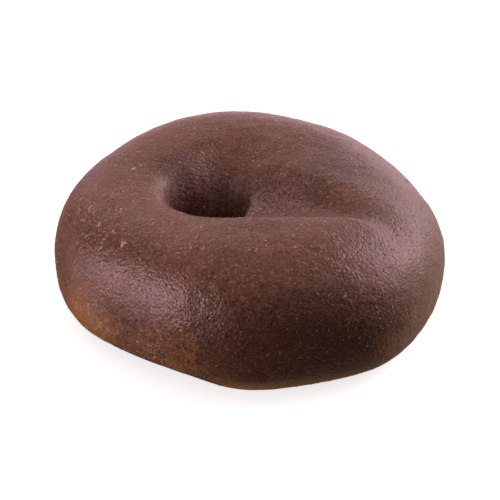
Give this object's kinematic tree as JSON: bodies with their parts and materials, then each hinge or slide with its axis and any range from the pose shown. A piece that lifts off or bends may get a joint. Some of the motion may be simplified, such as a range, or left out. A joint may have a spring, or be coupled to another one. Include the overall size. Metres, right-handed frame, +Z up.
{
  "type": "pumpernickel bagel",
  "caption": "Dark rye bagel: a hand-rolled dough ring with a flat base, a small off-centre hole and a lapped seam that leaves a valley beside it.",
  "frame": {"origin": "on the flat base, under the middle of the bagel's outline", "axes": "+Z up through the ring, the front with the blunt prow faces -Y, and the lapped seam lies towards +X from the hole"},
  "size_m": [0.111, 0.1096, 0.0401],
  "materials": {
    "crust": null
  },
  "bodies": {
    "root": {"bagel": "crust"}
  },
  "joints": []
}
